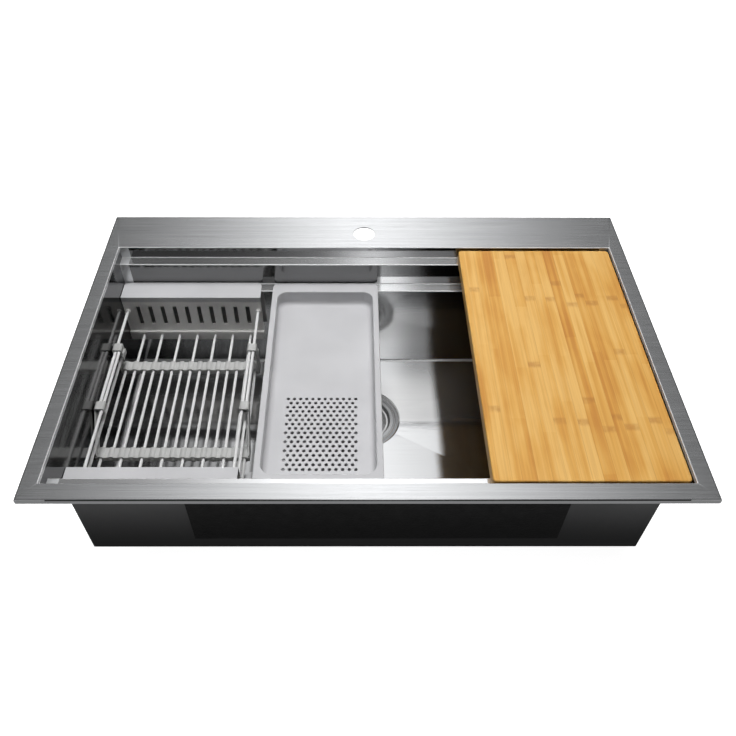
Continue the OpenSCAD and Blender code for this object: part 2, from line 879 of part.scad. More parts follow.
module rack_front_rods() {
    strip_end = rear_strip_y + strip_w;
    color(polished)
        translate([rack_x, 0, 0])
            half_rods(rack_in_front_y, -1, odd_rods, strip_end, front_side_x,
                front_half_collar_y + collar_l, [strip_end]);
}

module rack_rear_strip() {
    color(strip_grey)
        translate([rack_x, 0, 0]) {
            cross_strip(rear_strip_y, odd_rods, even_rods);
            both_sides() {
                strip_arm(rear_strip_y, front_half_collar_y);
                side_collar(front_half_collar_y, loose_fit, fixed_fit);
                mid_eyelet(rear_strip_y);
            }
        }
}

deck_flange();
bowl_rear_wall();
bowl_front_wall();
bowl_left_wall();
bowl_right_wall();
bowl_floor();
clip_channels();
front_sound_pad();
rear_sound_pad();
side_sound_pads();
floor_sound_pads();
strainer_body();
flange_gasket();
floor_gasket();
friction_ring();
locknut();
basket_cup();
basket_stopper();
basket_post();
basket_knob();
cutting_board();
colander();
rack_rear_end();
rack_rear_rods();
rack_front_strip();
rack_front_end();
rack_front_rods();
rack_rear_strip();
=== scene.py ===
"""A drop-in workstation sink: brushed steel deck and stepped bowl, bamboo board, colander, dish
rack and basket strainer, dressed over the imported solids. Metres; X right, Y rearwards, Z up."""

import math

import bmesh
import bpy
from mathutils import Matrix, Vector


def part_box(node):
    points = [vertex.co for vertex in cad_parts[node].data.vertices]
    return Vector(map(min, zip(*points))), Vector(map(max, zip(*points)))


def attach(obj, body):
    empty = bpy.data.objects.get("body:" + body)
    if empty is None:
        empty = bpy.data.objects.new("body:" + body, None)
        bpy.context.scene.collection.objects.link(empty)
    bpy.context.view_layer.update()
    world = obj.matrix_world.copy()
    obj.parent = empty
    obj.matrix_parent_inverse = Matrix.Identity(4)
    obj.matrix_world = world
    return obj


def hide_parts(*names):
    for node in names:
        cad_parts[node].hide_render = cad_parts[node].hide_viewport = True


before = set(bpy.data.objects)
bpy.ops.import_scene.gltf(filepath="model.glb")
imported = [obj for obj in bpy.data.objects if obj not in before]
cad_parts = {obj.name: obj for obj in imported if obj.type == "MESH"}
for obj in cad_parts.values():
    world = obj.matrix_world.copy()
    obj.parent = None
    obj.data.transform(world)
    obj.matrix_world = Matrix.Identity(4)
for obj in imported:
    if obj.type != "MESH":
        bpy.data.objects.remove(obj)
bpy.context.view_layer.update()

# Sizes of the deck, the bowl and the rack, as the solids have them
DECK_W, DECK_D, DECK_TOP, SHEET = 0.8382, 0.5588, 0.008, 0.0015
TAP_HOLE_Y, TAP_HOLE_R = 0.2323, 0.0175
SIDE_X, FRONT_Y, REAR_Y = 0.3963, -0.2553, 0.1957
LOW_FRONT_Y, LOW_REAR_Y, FLOOR_EDGE_Z = -0.2133, 0.1587, -0.2191
BOWL_MIDDLE_Y = (LOW_FRONT_Y + LOW_REAR_Y) / 2
DRAIN_Y = 0.028
RACK_X = -0.28225
ROD_R, ROD_TIP = 0.00225, 0.0006


# ---- camera, light and floor ----

def add_camera():
    """The photograph's view: 47.6 degrees down, from in front of the sink."""
    lens_px, centre_px, frame_px, sensor_mm = 728.5, 356.1, 736, 36
    pan, tilt, roll = [math.radians(a) for a in (-0.34, 90 - 47.6, 0.27)]
    data = bpy.data.cameras.new("photo_camera")
    data.sensor_width = sensor_mm
    data.lens = sensor_mm * lens_px / frame_px
    data.shift_x = 0.5 - centre_px / frame_px
    data.clip_start = 0.02
    camera = bpy.data.objects.new("photo_camera", data)
    bpy.context.scene.collection.objects.link(camera)
    turn = (Matrix.Rotation(pan, 4, "Z") @ Matrix.Rotation(tilt, 4, "X")
            @ Matrix.Rotation(roll, 4, "Z"))
    camera.matrix_world = Matrix.Translation((-0.018, -0.743, 0.747)) @ turn
    bpy.context.scene.camera = camera


def add_softbox(name, place, size, power):
    """A light that faces the sink. It lights matt surfaces and isn't mirrored in the steel."""
    data = bpy.data.lights.new(name, "AREA")
    data.size = size
    data.energy = power
    lamp = bpy.data.objects.new(name, data)
    bpy.context.scene.collection.objects.link(lamp)
    aim = (Vector((0, 0, -0.05)) - Vector(place)).to_track_quat("-Z", "Y")
    lamp.matrix_world = Matrix.Translation(place) @ aim.to_matrix().to_4x4()
    lamp.visible_camera = False
    lamp.visible_glossy = False


def add_studio():
    """A long overhead light tent that the steel mirrors, brightest above the sink's middle, and
    two lamps for the matt surfaces."""
    world = bpy.data.worlds.new("studio")
    bpy.context.scene.world = world
    world.use_nodes = True
    world.cycles_visibility.diffuse = False
    sky = Wiring(world.node_tree)
    x, y, z = sky.split(sky.node("ShaderNodeTexCoord", output="Generated"))
    across = x / z.at_least(0.03)

    def hump(middle, fall, least, power):
        """1 at the middle of the tent and less towards both sides."""
        return (1.0 - (across - middle).size() * fall).at_least(least) ** power

    rearwards = y.above(-0.15, 0.15)
    forwards = 1.0 - rearwards
    rear_tent = hump(0.024, 1.12, 0.35, 2.5) * 1.95
    front_tent = (hump(0.05, 3.2, 0.0, 2.0) * 1.65 + 0.13) * z.above(0.42, 0.68)
    tent = (rear_tent * rearwards + front_tent * forwards) * z.above(0.08, 0.38)
    below = (z * -1.0).above(0.05, 0.25) * 0.30
    grazing = z.above(0.0, 0.10) * (1.0 - z.above(0.40, 0.60)) * forwards * 0.34
    background = world.node_tree.nodes["Background"]
    background.inputs["Color"].default_value = (0.985, 0.99, 1.0, 1)
    sky.tree.links.new((tent + below + grazing + 0.03).socket, background.inputs["Strength"])
    add_softbox("overhead_softbox", (0.05, 0.35, 2.3), 0.9, 53)
    add_softbox("left_softbox", (-1.2, -0.9, 1.7), 1.2, 6)
    bpy.context.scene.view_settings.view_transform = "Standard"


# ---- wiring of shader and geometry nodes ----

class Wire:
    """A node's socket that takes Python's operators; each adds a Math node."""

    def __init__(self, wiring, socket):
        self.wiring, self.socket = wiring, socket

    def _math(self, operation, first, second=0.0):
        return self.wiring.node("ShaderNodeMath", [first, second], operation=operation)

    def __add__(self, other):
        return self._math("ADD", self, other)

    def __sub__(self, other):
        return self._math("SUBTRACT", self, other)

    def __rsub__(self, other):
        return self._math("SUBTRACT", other, self)

    def __mul__(self, other):
        return self._math("MULTIPLY", self, other)

    def __truediv__(self, other):
        return self._math("DIVIDE", self, other)

    def __pow__(self, other):
        return self._math("POWER", self, other)

    __radd__ = __add__
    __rmul__ = __mul__

    def size(self):
        return self._math("ABSOLUTE", self)

    def at_least(self, limit):
        return self._math("MAXIMUM", self, limit)

    def beyond(self, limit):
        """1 above the limit and 0 up to it."""
        return self._math("GREATER_THAN", self, limit)

    def fraction(self):
        return self._math("FRACT", self)

    def above(self, low, high):
        """0 below low, 1 above high, and a smooth ramp between them."""
        return self.wiring.node("ShaderNodeMapRange", {"Value": self, "From Min": low,
                                "From Max": high}, interpolation_type="SMOOTHSTEP")


class Wiring:
    """A node tree that is filled by calls."""

    def __init__(self, tree):
        self.tree = tree

    def node(self, kind, inputs=(), output=0, stops=None, **settings):
        """Adds a node with its settings, then the values or links of its inputs."""
        made = self.tree.nodes.new(kind)
        for key, value in settings.items():
            setattr(made, key, value)
        if stops:
            ramp = made.color_ramp
            while len(ramp.elements) < len(stops):
                ramp.elements.new(0.5)
            for element, (place, colour) in zip(ramp.elements, stops):
                element.position = place
                element.color = (*colour, 1)
        pairs = inputs.items() if isinstance(inputs, dict) else enumerate(inputs)
        for key, value in pairs:
            if isinstance(value, Wire):
                self.tree.links.new(value.socket, made.inputs[key])
            elif value is not None:
                made.inputs[key].default_value = value
        return Wire(self, made.outputs[output])

    def split(self, wire, kind="ShaderNodeSeparateXYZ"):
        """The three parts of a vector, or of a colour."""
        made = self.tree.nodes.new(kind)
        self.tree.links.new(wire.socket, made.inputs[0])
        return [Wire(self, made.outputs[i]) for i in range(3)]


class Finish(Wiring):
    """A material on Object coordinates, with one Principled shader."""

    def __init__(self, name, **numbers):
        self.material = bpy.data.materials.new(name)
        self.material.use_nodes = True
        super().__init__(self.material.node_tree)
        self.shader = self.tree.nodes["Principled BSDF"]
        for key, value in numbers.items():
            self.shader.inputs[key.replace("_", " ")].default_value = value
        self.place = self.node("ShaderNodeTexCoord", output="Object")

    def feed(self, socket, wire):
        """Links a wire to one of the shader's sockets."""
        self.tree.links.new(wire.socket, self.shader.inputs[socket])

    def axes(self):
        return self.split(self.place)

    def stretched(self, scale, centre=(0, 0, 0)):
        """The place on the piece, scaled along each axis about a centre."""
        shift = self.node("ShaderNodeVectorMath", [self.place, centre], operation="SUBTRACT")
        return self.node("ShaderNodeVectorMath", [shift, scale], operation="MULTIPLY")

    def noise(self, scale, detail=2.0, centre=(0, 0, 0), **more):
        """Noise with its own scale along each axis, for lines and grain."""
        where = self.stretched(scale, centre)
        return self.node("ShaderNodeTexNoise", {"Vector": where, "Scale": 1.0, "Detail": detail,
                                                **more})

    def blend(self, amount, first, second, mode="MIX"):
        """Two colours, mixed."""
        made = self.tree.nodes.new("ShaderNodeMix")
        made.data_type = "RGBA"
        made.blend_type = mode
        for index, value in ((0, amount), (6, first), (7, second)):
            if isinstance(value, Wire):
                self.tree.links.new(value.socket, made.inputs[index])
            else:
                made.inputs[index].default_value = (*value, 1) if index else value
        return Wire(self, made.outputs[2])

    def shaded(self, colour, share):
        """A colour, darkened to a share."""
        return self.blend(1.0, colour, share, "MULTIPLY")

    def ramp(self, amount, stops):
        return self.node("ShaderNodeValToRGB", [amount], stops=stops)

    def bump(self, height, strength, depth):
        return self.node("ShaderNodeBump", {"Height": height, "Strength": strength,
                                            "Distance": depth})


class Pattern(Wiring):
    """A Geometry Nodes tree with named inputs."""

    KINDS = {int: "NodeSocketInt", float: "NodeSocketFloat", tuple: "NodeSocketVector",
             bpy.types.Material: "NodeSocketMaterial"}

    def __init__(self, name, **sizes):
        super().__init__(bpy.data.node_groups.new(name, "GeometryNodeTree"))
        self.sizes, self.identifiers = sizes, {}
        face = self.tree.interface
        face.new_socket("Mesh", in_out="OUTPUT", socket_type="NodeSocketGeometry")
        for key, value in sizes.items():
            made = face.new_socket(key, in_out="INPUT", socket_type=self.KINDS[type(value)])
            self.identifiers[key] = made.identifier
        self.entry = self.tree.nodes.new("NodeGroupInput")

    def given(self, key):
        return Wire(self, self.entry.outputs[key])

    def close(self, geometry):
        """Realizes the instances, gives them their material and ends the tree."""
        real = self.node("GeometryNodeRealizeInstances", [geometry])
        faced = self.node("GeometryNodeSetMaterial", {"Geometry": real,
                                                      "Material": self.given("Finish")})
        end = self.tree.nodes.new("NodeGroupOutput")
        self.tree.links.new(faced.socket, end.inputs[0])

    def piece(self, name):
        """Runs the tree and returns the result as a plain mesh object."""
        holder = bpy.data.objects.new(name + "_pattern", bpy.data.meshes.new(name + "_pattern"))
        bpy.context.scene.collection.objects.link(holder)
        modifier = holder.modifiers.new("pattern", "NODES")
        modifier.node_group = self.tree
        for key, value in self.sizes.items():
            modifier[self.identifiers[key]] = value
        return set_in_mesh(holder, name)


# ---- mesh helpers ----

def ease_shading(mesh):
    """Smooth shading on narrow faces. Broad ones stay flat, so that they mirror truly."""
    sharp_angle, broad = math.radians(35), 0.003
    if "custom_normal" in mesh.attributes:
        mesh.attributes.remove(mesh.attributes["custom_normal"])
    mesh.set_sharp_from_angle(angle=sharp_angle)
    for face in mesh.polygons:
        points = [mesh.vertices[i].co for i in face.vertices]
        rim = sum((p - q).length for p, q in zip(points, points[1:] + points[:1]))
        face.use_smooth = 2 * face.area / rim < broad


def set_in_mesh(holder, name):
    """The evaluated object as a new plain mesh object, smooth but for its sharp edges."""
    bpy.context.view_layer.update()
    graph = bpy.context.evaluated_depsgraph_get()
    mesh = bpy.data.meshes.new_from_object(holder.evaluated_get(graph), depsgraph=graph)
    mesh.name = name
    bpy.data.objects.remove(holder)
    piece = bpy.data.objects.new(name, mesh)
    bpy.context.scene.collection.objects.link(piece)
    ease_shading(mesh)
    return piece


def from_bmesh(name, bm, *finishes):
    """A new object from a bmesh, with its faces turned outwards."""
    mesh = bpy.data.meshes.new(name)
    bmesh.ops.recalc_face_normals(bm, faces=bm.faces)
    bm.to_mesh(mesh)
    bm.free()
    for finish in finishes:
        mesh.materials.append(finish)
    piece = bpy.data.objects.new(name, mesh)
    bpy.context.scene.collection.objects.link(piece)
    ease_shading(mesh)
    return piece


def softened(node, name, widths, segments=3, clamp=True):
    """A copy of a solid whose edges are rounded. widths gives each edge's own width in metres."""
    merged, flat, sharp = 2e-6, math.radians(0.5), math.radians(30)
    bm = bmesh.new()
    bm.from_mesh(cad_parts[node].data)
    bmesh.ops.remove_doubles(bm, verts=bm.verts, dist=merged)
    bmesh.ops.dissolve_limit(bm, angle_limit=flat, verts=bm.verts, edges=bm.edges)
    weights = bm.edges.layers.float.new("bevel_weight_edge")
    asked = {}
    for edge in bm.edges:
        if len(edge.link_faces) == 2 and edge.calc_face_angle(0) > sharp:
            middle = (edge.verts[0].co + edge.verts[1].co) / 2
            along = (edge.verts[1].co - edge.verts[0].co).normalized()
            asked[edge] = widths(middle, along)
    widest = max(asked.values())
    for edge, width in asked.items():
        edge[weights] = width / widest
    mesh = bpy.data.meshes.new(name)
    bm.to_mesh(mesh)
    bm.free()
    holder = bpy.data.objects.new(name + "_sharp", mesh)
    bpy.context.scene.collection.objects.link(holder)
    bevel = holder.modifiers.new("edges", "BEVEL")
    bevel.limit_method = "WEIGHT"
    bevel.width = widest
    bevel.segments = segments
    bevel.use_clamp_overlap = clamp
    return set_in_mesh(holder, name)


def rounded_loop(width, depth, radius, height, centre=(0, 0), steps=7):
    """Points of a rectangle with round corners, anticlockwise from the right front corner."""
    points = []
    for corner, (sx, sy) in enumerate(((1, -1), (1, 1), (-1, 1), (-1, -1))):
        cx = centre[0] + sx * (width / 2 - radius)
        cy = centre[1] + sy * (depth / 2 - radius)
        for i in range(steps + 1):
            a = math.radians(-90 + 90 * corner + 90 * i / steps)
            points.append((cx + radius * math.cos(a), cy + radius * math.sin(a), height))
    return points


def quarter_round(steps):
    """1 - sine and 1 - cosine at each step of a quarter turn, to round an edge with."""
    turns = [math.radians(90 * i / steps) for i in range(steps + 1)]
    return [(1 - math.sin(a), 1 - math.cos(a)) for a in turns]


def extent(node):
    """A solid's foot, top, width, depth and middle."""
    low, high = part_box(node)
    middle = ((low[0] + high[0]) / 2, (low[1] + high[1]) / 2)
    return low[2], high[2], high[0] - low[0], high[1] - low[1], middle


def lofted(loops, closed=False):
    """Skins loops of equally many points; open skins get a cap at each end."""
    bm = bmesh.new()
    rings = [[bm.verts.new(p) for p in loop] for loop in loops]
    pairs = list(zip(rings, rings[1:] + rings[:1])) if closed else list(zip(rings, rings[1:]))
    for first, second in pairs:
        for i in range(len(first)):
            j = (i + 1) % len(first)
            bm.faces.new((first[i], first[j], second[j], second[i]))
    if not closed:
        bm.faces.new(rings[0][::-1])
        bm.faces.new(rings[-1])
    return bm


def turned(section, steps):
    """A ring of the given closed section (radius, height) about the drain's axis."""
    loops = []
    for i in range(steps):
        a = 2 * math.pi * i / steps
        loops.append([(r * math.cos(a), DRAIN_Y + r * math.sin(a), z) for r, z in section])
    return lofted(loops, closed=True)


def face_finishes(piece, pick):
    """Gives each face the material slot that pick returns for its middle and normal."""
    for face in piece.data.polygons:
        face.material_index = pick(face.center, face.normal)


def cut(piece, tools):
    """Cuts closed shapes out of a piece."""
    holder = piece.modifiers.new("holes", "BOOLEAN")
    holder.operation = "DIFFERENCE"
    holder.solver = "EXACT"
    holder.object = tools
    name = piece.name
    piece.name = name + "_whole"
    made = set_in_mesh(piece, name)
    bpy.data.objects.remove(tools)
    return made


def joined(name, pieces):
    """One object from several plain ones."""
    bm = bmesh.new()
    finish = pieces[0].data.materials[0]
    for piece in pieces:
        bm.from_mesh(piece.data)
        bpy.data.objects.remove(piece)
    return from_bmesh(name, bm, finish)


def refinish(piece, *finishes):
    """Gives a piece these materials in the place of its own."""
    piece.data.materials.clear()
    for finish in finishes:
        piece.data.materials.append(finish)


def stand_for(piece, body, slot, *nodes):
    """Puts a piece on its body, in the place of the solids it stands for. slot is not used."""
    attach(piece, body)
    if nodes:
        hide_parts(*nodes)


def dress(finish, *node_names):
    """Gives solids that stay as they are their material."""
    for node in node_names:
        refinish(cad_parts[node], finish)


# ---- finishes ----

def brushed_deck():
    """Deck sheet, brushed left to right in long fine lines."""
    steel = Finish("brushed_deck_steel", Metallic=1.0)
    fine = steel.noise((9, 1500, 1500), 2)
    lines = steel.noise((4, 330, 330), 2, (0.31, 0.17, 0))
    tone = steel.ramp(lines * 0.6 + fine * 0.4, [(0.30, (0.545, 0.55, 0.555)),
                                                 (0.70, (0.635, 0.64, 0.645))])
    steel.feed("Base Color", tone)
    steel.feed("Roughness", 0.17 + (fine - 0.5) * 0.10 + (lines - 0.5) * 0.06)
    steel.feed("Normal", steel.bump(fine, 0.5, 0.0003))
    return steel.material


def bowl_steel(name, tone, lines="X", metallic=1.0, painted_light_share=None, milky=None):
    """Inside of the bowl: sheet polished in fine lines along an axis. tone is its brightness,
    a share for each place darkens it as painted light and shade, and milky the share that
    scatters the light. Along X the sheet is ground dull at the ledges' ends. Along Y a pale,
    partly matt strip at its top stands for the side walls' weld and is partly a painted
    highlight."""
    steel = Finish(name, Metallic=metallic)
    x, y, z = steel.axes()
    on_long_walls = 1.0 if lines == "X" else 0.0

    def stretch(long, fine):
        return (long, fine, fine) if lines == "X" else (fine, long, fine)

    fine = steel.noise(stretch(8, 1500))
    cloud = steel.noise(stretch(5, 12))
    swirl = steel.noise((420, 420, 420), 4, Distortion=1.5)
    ledge_end = x.size().above(SIDE_X - 0.0155, SIDE_X - 0.0135) * z.above(-0.075, -0.065)
    ground = ledge_end * on_long_walls
    sheet = steel.ramp(fine * 0.5 + cloud * 0.5,
                       [(0.30, (tone * 0.94, tone * 0.945, tone * 0.95)),
                        (0.70, (tone * 1.05, tone * 1.055, tone * 1.06))])
    if painted_light_share:
        # painted light and shade: the sheet's tone darkened place by place
        sheet = steel.shaded(sheet, painted_light_share(x, y))
    colour = steel.blend(ground, sheet, (0.80, 0.81, 0.82))
    if lines == "Y":
        # painted highlight, partly the weld: a pale, partly matt strip along the side walls' top
        weld_and_highlight_strip = z.above(0.0018, 0.0030)
        colour = steel.blend(weld_and_highlight_strip, colour, (0.92, 0.92, 0.93))
        steel.feed("Metallic", 1.0 - weld_and_highlight_strip * 0.75)
    elif milky:
        steel.feed("Metallic", 1.0 - milky(x, y))
    steel.feed("Base Color", colour)
    satin = 0.07 + (fine - 0.5) * 0.04 + (cloud - 0.5) * 0.02
    steel.feed("Roughness", satin * (1.0 - ground) + ground * (0.28 + swirl * 0.25))
    relief = fine * (1.0 - ground) * 0.2 + swirl * ground
    steel.feed("Normal", steel.bump(relief, 0.55, 0.0003))
    return steel.material


def painted_wall_light(x, y):
    """Painted light and shade on the long walls: a painted highlight in the middle above, painted
    shade between the ledges with a painted lit patch, and painted shade towards the right below.
    """
    from_middle = (y - BOWL_MIDDLE_Y).size()
    stepped_out = from_middle.above(0.190, 0.200)
    top_part = from_middle.above(0.214, 0.222)
    above_ledges = top_part * (1.0 - (x - 0.01).size().above(0.0, 0.09) * 0.52)
    painted_lit_patch = x.above(0.024, 0.030) * (1.0 - x.above(0.045, 0.115))
    between_ledges = (stepped_out - top_part) * (painted_lit_patch + 0.42)
    below_ledges = (1.0 - stepped_out) * (1.0 - x.above(0.03, 0.10) * 0.55) * 1.14
    return above_ledges + between_ledges + below_ledges


def painted_ledge_shade(x, y):
    """Painted shade on the ledges: darker towards the left end."""
    return 1.0 - (x * -1.0).above(0.05, 0.33) * 0.48


def rear_half(y):
    """1 on the floor's rear half, behind the fold that meets the drain."""
    return y.above(0.014, 0.024)


def painted_shade_under_rack(x, y):
    """Painted shade on the floor: darker at the left, under the rack, and towards the front."""
    return (x.above(-0.34, -0.06) * 0.45 + 0.55) * (rear_half(y) * 0.52 + 0.60)


def painted_light_round_drain(x, y):
    """Painted light: the rear half of the floor has a matt share near the drain, larger than at
    the wall, so it reads brighter there.
    """
    behind = rear_half(y) * (1.0 - y.above(0.06, 0.150) * 0.7)
    beside = x.above(-0.06, 0.0) * (1.0 - x.above(0.115, 0.133))
    return behind * beside * (1.0 - x.above(0.05, 0.12) * 0.25) * 0.80 + 0.04


def painted_highlight_fold():
    """Folds and ground seams: paler than the sheet and partly matt, a painted highlight along
    each bend and seam.
    """
    fold = Finish("rubbed_fold_steel", Metallic=0.5)
    fine = fold.noise((30, 900, 900), 2)
    cloud = fold.noise((18, 40, 40), 2)
    fold.feed("Base Color", fold.ramp(fine * 0.4 + cloud * 0.6, [(0.3, (0.86, 0.865, 0.87)),
                                                                 (0.7, (0.95, 0.955, 0.96))]))
    fold.feed("Roughness", 0.26 + fine * 0.12)
    fold.feed("Normal", fold.bump(fine, 0.2, 0.0001))
    return fold.material


def shaded_by_height(finish, colour, low, high, gain, least):
    """Painted shade on a coat: its colour times a share that rises towards the deck, and again
    under the floor.
    """
    height = finish.axes()[2]
    underside = 1.0 - height.above(-0.2225, -0.2212)
    return finish.shaded(colour, height.above(low, high) * gain + underside * 0.6 + least)


def undercoat():
    """Dark satin coat sprayed on the bowl's outside."""
    coat = Finish("dark_undercoat", Metallic=0.0, Specular_IOR_Level=0.1)
    speckle = coat.noise((700, 700, 700), 3)
    cloud = coat.noise((9, 9, 14), 2)
    spray = coat.ramp(cloud * 0.7 + speckle * 0.3, [(0.30, (0.068, 0.068, 0.070)),
                                                    (0.70, (0.096, 0.096, 0.098))])
    # painted shade: darker towards the bottom, paler under the floor
    coat.feed("Base Color", shaded_by_height(coat, spray, -0.215, -0.03, 0.95, 0.05))
    coat.feed("Roughness", 0.50 + (cloud - 0.5) * 0.12)
    coat.feed("Normal", coat.bump(speckle, 0.25, 0.0003))
    return coat.material


def granular_rubber():
    """Sound pads: coarse black granules pressed into a sheet."""
    pad = Finish("granular_black_pad", Metallic=0.0, Roughness=0.86, Specular_IOR_Level=0.2)
    grain = pad.node("ShaderNodeTexVoronoi", {"Vector": pad.stretched((1, 1, 1)),
                                              "Scale": 480.0})
    patches = pad.noise((60, 60, 60), 3)
    granules = pad.ramp(patches * 0.6 + grain * 0.5, [(0.25, (0.003, 0.003, 0.003)),
                                                      (0.85, (0.014, 0.014, 0.014))])
    # painted shade: darker towards the bottom, paler under the floor
    pad.feed("Base Color", shaded_by_height(pad, granules, -0.19, -0.05, 0.85, 0.15))
    pad.feed("Normal", pad.bump(grain + patches * 0.6, 0.6, 0.0008))
    return pad.material


def bamboo_strips():
    """Glued bamboo strips, front to back, with the cane's joints across some of them."""
    wood = Finish("bamboo_strips", Metallic=0.0, Coat_Roughness=0.3)
    x, y = wood.axes()[:2]
    wobble = wood.noise((3, 1.4, 1), 2)
    lane = x + wobble * 0.002
    strips = {"W": lane, "Scale": 62.0, "Randomness": 0.75}
    cell = wood.node("ShaderNodeTexVoronoi", strips, output="Color", voronoi_dimensions="1D")
    seam = wood.node("ShaderNodeTexVoronoi", strips, voronoi_dimensions="1D",
                     feature="DISTANCE_TO_EDGE")
    shade, start, mark = wood.split(cell, "ShaderNodeSeparateColor")
    fibre = wood.noise((620, 11, 620), 4, (0.1, 0, 0))
    bands = wood.noise((150, 2.2, 150), 3)
    clouds = wood.noise((24, 8, 24), 3)
    ragged = wood.noise((150, 110, 50), 3)
    cane = (y + start * 0.9) / 0.235 + ragged * 0.014
    step = cane.fraction()
    length_shade = ((cane - step) * 0.37 + start * 5.3).fraction()
    near_joint = 1.0 - (step - 0.5).size().above(0.006, 0.034)
    joint = near_joint * mark.above(0.35, 0.55) * (ragged.above(0.35, 0.65) * 0.5 + 0.5)
    line = (1.0 - (step - 0.515).size().above(0.0, 0.0045)) * mark.above(0.30, 0.50)
    streaks = bands.above(0.32, 0.68) * 0.30 + clouds.above(0.32, 0.68) * 0.34
    light = wood.ramp(shade * 0.34 + length_shade * 0.18 + streaks + 0.10,
                      [(0.24, (0.57, 0.24, 0.042)), (0.46, (0.675, 0.33, 0.064)),
                       (0.64, (0.75, 0.405, 0.093)), (0.88, (0.83, 0.50, 0.150))])
    grained = wood.blend(fibre.above(0.35, 0.75) * 0.22, light, (0.47, 0.215, 0.055))
    marked = wood.blend(joint * 0.50 + line * 0.10, grained, (0.42, 0.165, 0.036))
    glued = wood.blend((1.0 - seam.above(0.004, 0.022)) * 0.38, marked, (0.37, 0.17, 0.045))
    wood.feed("Base Color", glued)
    wood.feed("Roughness", 0.40 + fibre * 0.16)
    wood.feed("Coat Weight", 0.10 + clouds * 0.10)
    relief = fibre * 0.5 + joint * 0.3 + seam.above(0.0, 0.02) * 0.5
    wood.feed("Normal", wood.bump(relief, 0.18, 0.0003))
    return wood.material


def moulded_plastic(name, low, high, rough, painted_light_below=None):
    """Satin moulded plastic with the faint texture of its tool, and paler below a height: painted
    light on the faces there, which lie in shade.
    """
    plastic = Finish(name, Metallic=0.0, Subsurface_Weight=0.08, Subsurface_Scale=0.003,
                     Subsurface_Radius=(1.0, 1.0, 1.0))
    cloud = plastic.noise((14, 14, 14), 2)
    fine = plastic.noise((1500, 1500, 1500), 2)
    shade = plastic.ramp(cloud, [(0.3, low), (0.7, high)])
    # painted light: paler below the height, where the faces lie in shade
    if painted_light_below:
        lower = 1.0 - plastic.axes()[2].above(painted_light_below - 0.004, painted_light_below)
        shade = plastic.blend(lower, shade, (0.87, 0.86, 0.84))
    plastic.feed("Base Color", shade)
    plastic.feed("Roughness", rough + (cloud - 0.5) * 0.10 + (fine - 0.5) * 0.06)
    plastic.feed("Normal", plastic.bump(fine, 0.06, 0.0002))
    return plastic.material


def drawn_rod():
    """Rods: bright drawn steel with faint lines along them."""
    rod = Finish("bright_drawn_rod", Metallic=1.0)
    lines = rod.noise((900, 12, 900), 2)
    tint = rod.noise((30, 8, 30), 2)
    rod.feed("Base Color", rod.ramp(lines * 0.5 + tint * 0.5, [(0.3, (0.47, 0.425, 0.38)),
                                                               (0.7, (0.60, 0.555, 0.51))]))
    rod.feed("Roughness", 0.07 + lines * 0.06)
    rod.feed("Normal", rod.bump(lines, 0.03, 0.0001))
    return rod.material


def turned_steel(name, tone, metallic):
    """Strainer: polished steel with the fine rings of the lathe about the drain's axis."""
    steel = Finish(name, Metallic=metallic)
    x, y, z = steel.axes()
    from_drain = y - DRAIN_Y
    radius = (x * x + from_drain * from_drain) ** 0.5

    def rings(scale):
        return steel.node("ShaderNodeTexNoise", {"W": radius + z * 0.7, "Scale": scale,
                                                 "Detail": 2.0}, noise_dimensions="1D")

    fine = rings(2600.0)
    grooves = fine * 0.5 + rings(420.0) * 0.5
    steel.feed("Base Color", steel.ramp(grooves, [(0.3, (tone * 0.8, tone * 0.81, tone * 0.82)),
                                                  (0.7, (tone * 1.2,) * 3)]))
    steel.feed("Roughness", 0.20 + fine * 0.12)
    steel.feed("Normal", steel.bump(grooves, 0.35, 0.0002))
    return steel.material


def mill_steel():
    """Hidden folded steel: plain mill finish."""
    steel = Finish("mill_finish_steel", Metallic=1.0)
    cloud = steel.noise((40, 40, 40), 3)
    fine = steel.noise((900, 900, 900), 2)
    steel.feed("Base Color", steel.ramp(cloud, [(0.3, (0.44, 0.445, 0.45)),
                                                (0.7, (0.55, 0.555, 0.56))]))
    steel.feed("Roughness", 0.34 + cloud * 0.14)
    steel.feed("Normal", steel.bump(fine, 0.08, 0.0002))
    return steel.material


def soft_rubber():
    """Gaskets and stopper: matt black rubber."""
    rubber = Finish("black_soft_rubber", Metallic=0.0)
    cloud = rubber.noise((120, 120, 120), 3)
    fine = rubber.noise((1600, 1600, 1600), 2)
    rubber.feed("Base Color", rubber.ramp(cloud, [(0.3, (0.014, 0.014, 0.015)),
                                                  (0.7, (0.026, 0.026, 0.027))]))
    rubber.feed("Roughness", 0.58 + cloud * 0.18)
    rubber.feed("Normal", rubber.bump(fine, 0.15, 0.0002))
    return rubber.material


def pressed_fibre():
    """Friction ring: pale pressed fibre."""
    board = Finish("pressed_fibre", Metallic=0.0)
    fibres = board.noise((900, 900, 300), 4)
    cloud = board.noise((60, 60, 60), 2)
    board.feed("Base Color", board.ramp(fibres * 0.6 + cloud * 0.4,
               [(0.3, (0.46, 0.40, 0.30)), (0.7, (0.62, 0.56, 0.44))]))
    board.feed("Roughness", 0.80 + fibres * 0.12)
    board.feed("Normal", board.bump(fibres, 0.3, 0.0002))
    return board.material


